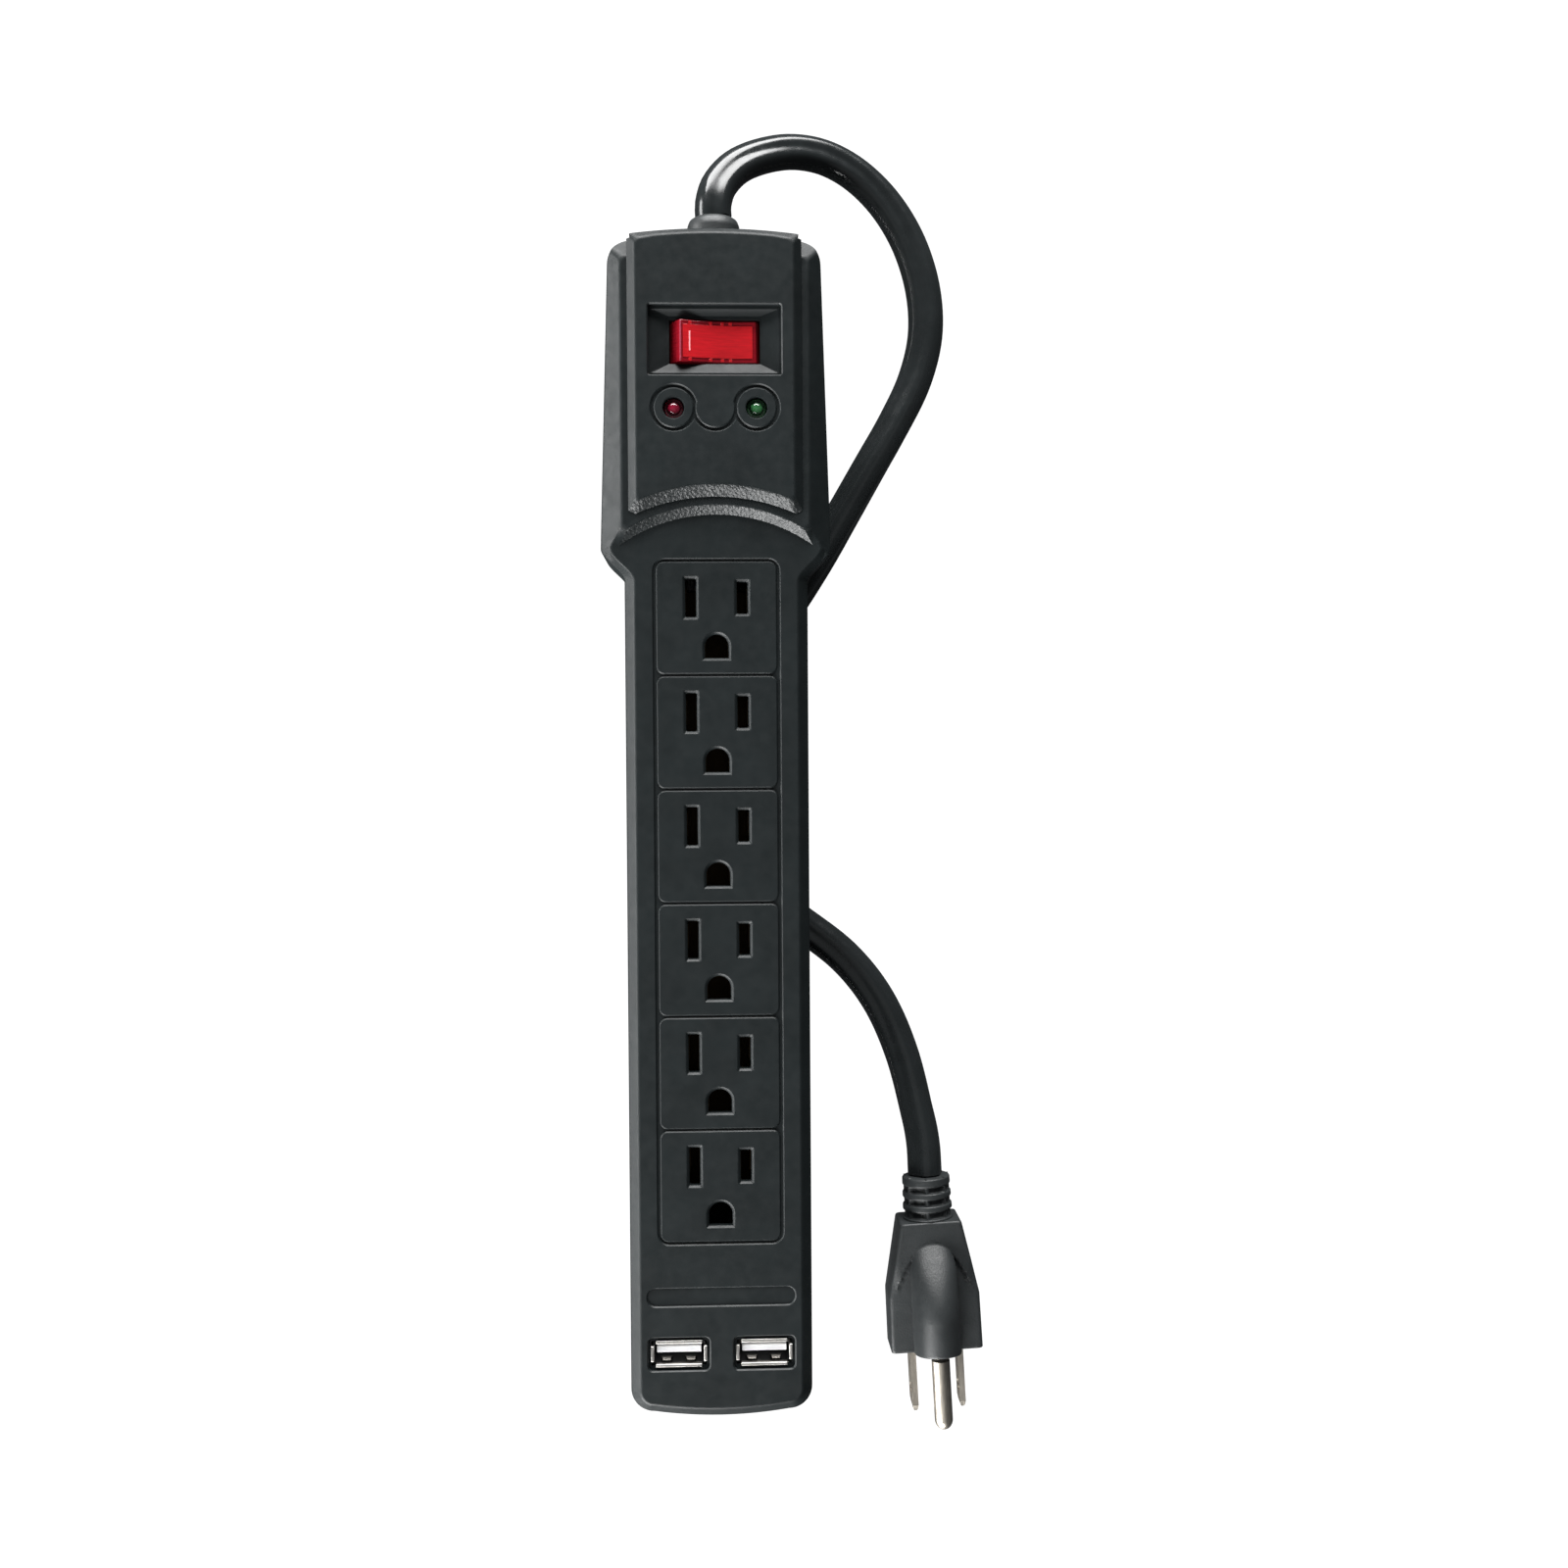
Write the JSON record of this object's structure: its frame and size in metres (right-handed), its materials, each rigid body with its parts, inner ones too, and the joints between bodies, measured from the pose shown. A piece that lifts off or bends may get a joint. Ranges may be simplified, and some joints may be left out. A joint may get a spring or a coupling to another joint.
{
  "type": "power strip",
  "caption": "Surge-protected power strip with a lit breaker rocker, indicator lamps, grounded outlets in a row, USB charging ports and a short cord with a three-pin plug.",
  "frame": {"origin": "middle of the strip's own box, without its cord and plug", "axes": "+Y along the strip towards its head, where the cord leaves; +Z out of the outlet face; +X to the right seen from above with the head up"},
  "size_m": [0.0979, 0.3373, 0.0428],
  "materials": {
    "cover_black": "fine-grained near-black ABS",
    "cord_black": "semi-gloss black PVC",
    "rocker_red": "translucent red, lit from inside",
    "lamp_red": "clear dark red",
    "lamp_green": "clear green",
    "nickel": "bright nickel plate",
    "brass": "plain stamped brass",
    "screw_steel": "zinc-plated steel",
    "board_green": "solder-masked circuit board",
    "tongue_white": "white port insert",
    "housing_grey": "dark grey moulding",
    "disc_blue": "blue epoxy coat",
    "tape_yellow": "yellow film",
    "wire_white": "white wire insulation",
    "wire_green": "green wire insulation",
    "wire_black": "black wire insulation"
  },
  "bodies": {
    "housing": {"top_cover": "cover_black", "back_cover": "cover_black", "cover_screw_1": "screw_steel", "cover_screw_2": "screw_steel", "cover_screw_3": "screw_steel", "cover_screw_4": "screw_steel", "cover_screw_5": "screw_steel", "cover_screw_6": "screw_steel", "breaker_housing": "housing_grey", "terminal_lamp": "brass", "terminal_common": "brass", "terminal_line": "brass", "led_red": "lamp_red", "led_green": "lamp_green", "led_board": "board_green", "surge_board": "board_green", "varistor_1": "disc_blue", "varistor_2": "disc_blue", "varistor_3": "disc_blue", "thermal_fuse": "nickel", "filter_capacitor": "tape_yellow", "neutral_strip": "brass", "line_strip": "brass", "ground_strip": "brass", "usb_shell_left": "nickel", "usb_shell_right": "nickel", "usb_tongue_left": "tongue_white", "usb_tongue_right": "tongue_white", "usb_board": "board_green", "usb_transformer": "tape_yellow", "usb_capacitor": "nickel", "usb_chip": "housing_grey", "line_wire": "wire_black", "switched_wire": "wire_black", "neutral_wire": "wire_white", "ground_wire": "wire_green", "usb_line_wire": "wire_black", "usb_neutral_wire": "wire_white", "cord_gland": "cord_black", "inner_jacket": "cord_black", "cord_clamp": "housing_grey", "clamp_screw_1": "screw_steel", "clamp_screw_2": "screw_steel", "power_cord": "cord_black", "plug_strain_relief": "cord_black", "plug_body": "cord_black", "plug_blade_line": "nickel", "plug_blade_neutral": "nickel", "plug_ground_pin": "nickel"},
    "rocker": {"rocker_button": "rocker_red", "switch_plunger": "nickel"},
    "contact_arm": {"contact_arm": "brass"}
  },
  "joints": [
    {"name": "rocker_pivot", "type": "hinge", "parent": "housing", "child": "rocker", "pos_m": [0, 0.1193, 0.009], "axis": [0, -1, 0], "range_deg": [0, 18]},
    {"name": "contact_arm_pivot", "type": "hinge", "parent": "housing", "child": "contact_arm", "pos_m": [0, 0.1193, 0.0004], "axis": [0, -1, 0], "range_deg": [-7.3, 0]}
  ],
  "couplings": [
    {"joint": "contact_arm_pivot", "follows": "rocker_pivot", "ratio": -0.4}
  ]
}
